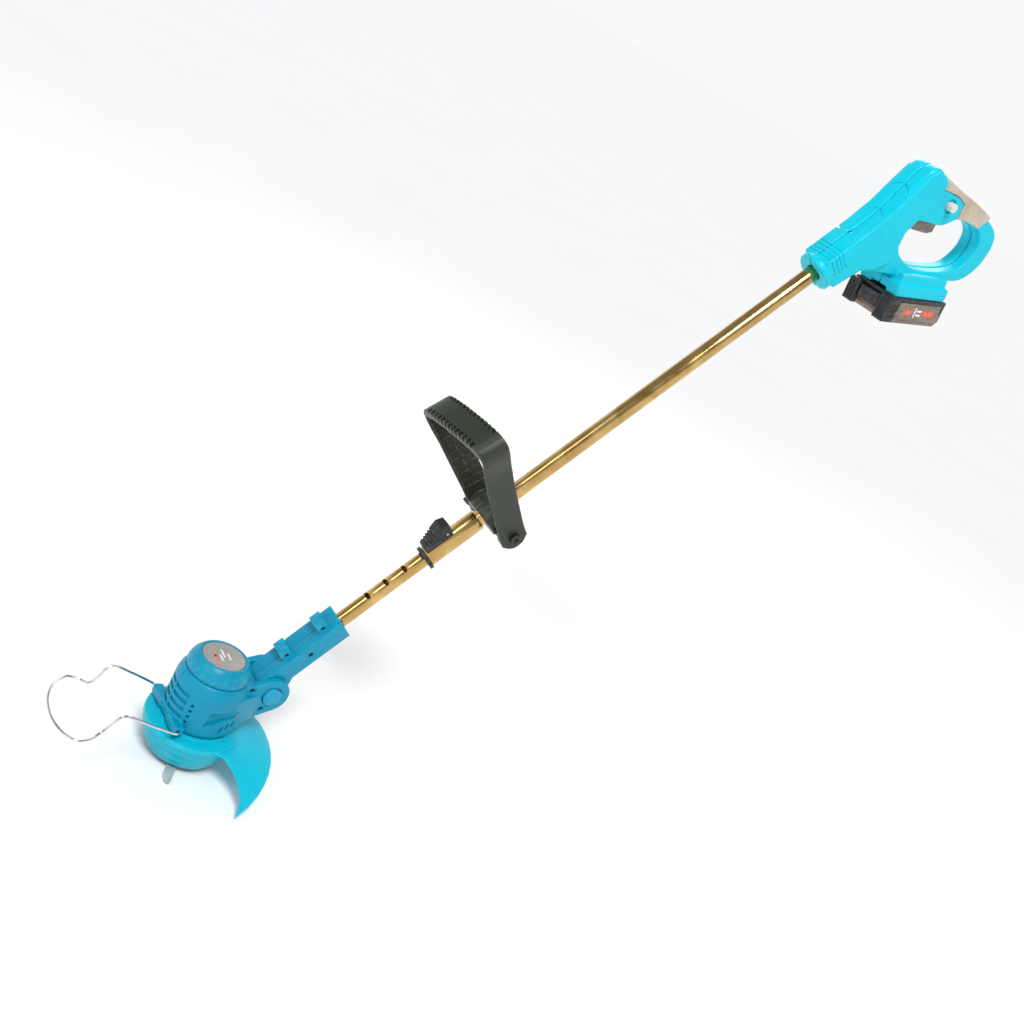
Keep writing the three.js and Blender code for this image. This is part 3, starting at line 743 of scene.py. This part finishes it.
# The camera's place and two of its axes in the row frame; lens and sensor in millimetres
CAMERA_PLACE = Vector((-0.765, -1.0823, 0.9654))
CAMERA_RIGHT = Vector((0.7405, -0.4900, 0.4600))
CAMERA_FORWARD = Vector((0.6577, 0.6691, -0.3462))
CAMERA_LENS = 44.83
CAMERA_SENSOR = 36

FLOOR_REACH = 400
FLOOR_HEIGHT = -0.0005
HORIZON_WHITE = (0.95, 0.95, 0.95, 1)
CEILING_GREY = (0.32, 0.33, 0.35, 1)


def make_camera():
    data = bpy.data.cameras.new("camera")
    data.lens = CAMERA_LENS
    data.sensor_width = CAMERA_SENSOR
    camera = bpy.data.objects.new("camera", data)
    forward = CAMERA_FORWARD.normalized()
    up = CAMERA_RIGHT.cross(forward).normalized()
    right = forward.cross(up)
    turn = Matrix((right, up, -forward)).transposed()
    camera.matrix_world = Matrix.Translation(CAMERA_PLACE) @ turn.to_4x4()
    bpy.context.scene.collection.objects.link(camera)
    bpy.context.scene.camera = camera


def add_light(name, data, direction, place=(0, 0, 0)):
    light = bpy.data.objects.new(name, data)
    light.location = place
    light.rotation_euler = Vector(direction).to_track_quat("-Z", "Y").to_euler()
    bpy.context.scene.collection.objects.link(light)


def area_light(name, place, target, size, power):
    data = bpy.data.lights.new(name, "AREA")
    data.shape = "RECTANGLE"
    data.size = size
    data.size_y = size
    data.energy = power
    add_light(name, data, Vector(target) - Vector(place), place)


def sun(direction, strength, softness):
    data = bpy.data.lights.new("sun", "SUN")
    data.energy = strength
    data.angle = math.radians(softness)
    add_light("sun", data, direction)


def sky(tree):
    """A white band round the horizon under a dimmer ceiling, as in a white studio."""
    place = tree.nodes.new("ShaderNodeTexCoord")
    split = tree.nodes.new("ShaderNodeSeparateXYZ")
    ramp = tree.nodes.new("ShaderNodeValToRGB")
    band_end, ceiling_start = ramp.color_ramp.elements
    band_end.position = 0.3
    band_end.color = HORIZON_WHITE
    ceiling_start.position = 0.5
    ceiling_start.color = CEILING_GREY
    tree.links.new(place.outputs["Generated"], split.inputs[0])
    tree.links.new(split.outputs["Z"], ramp.inputs[0])
    tree.links.new(ramp.outputs[0], tree.nodes["Background"].inputs["Color"])


def floor_paint():
    g = Graph("floor_paint")
    mottle = g.span(g.noise(2, 3), 0.3, 0.7)
    g.link(g.mix(mottle, (0.89, 0.89, 0.89), (0.91, 0.91, 0.91)), "Base Color")
    g.set(Roughness=0.8)
    return g.material


def make_floor():
    corners = [(x, y, 0) for x, y in ((-1, -1), (1, -1), (1, 1), (-1, 1))]
    mesh = bpy.data.meshes.new("floor")
    mesh.from_pydata([Vector(c) * FLOOR_REACH for c in corners], [], [(0, 1, 2, 3)])
    floor = new_object("floor", mesh)
    floor.location.z = FLOOR_HEIGHT
    mesh.materials.append(floor_paint())


def make_studio():
    """A wide pale floor, a white sky, a soft sun and two small lights by the head and the handle."""
    make_floor()
    world = bpy.data.worlds.new("world")
    world.use_nodes = True
    sky(world.node_tree)
    bpy.context.scene.world = world
    sun(direction=(0.3, 0.55, -1), strength=2.35, softness=20)
    area_light("key", place=(-1.4, -0.2, 1.6), target=(0, 0, 0.1), size=0.8, power=6)
    area_light("rim", place=(1.6, 1.2, 2.0), target=(0.8, 0, 0.9), size=1.0, power=12)
    bpy.context.scene.view_settings.view_transform = "Standard"


make_camera()
make_studio()
dress_nodes()
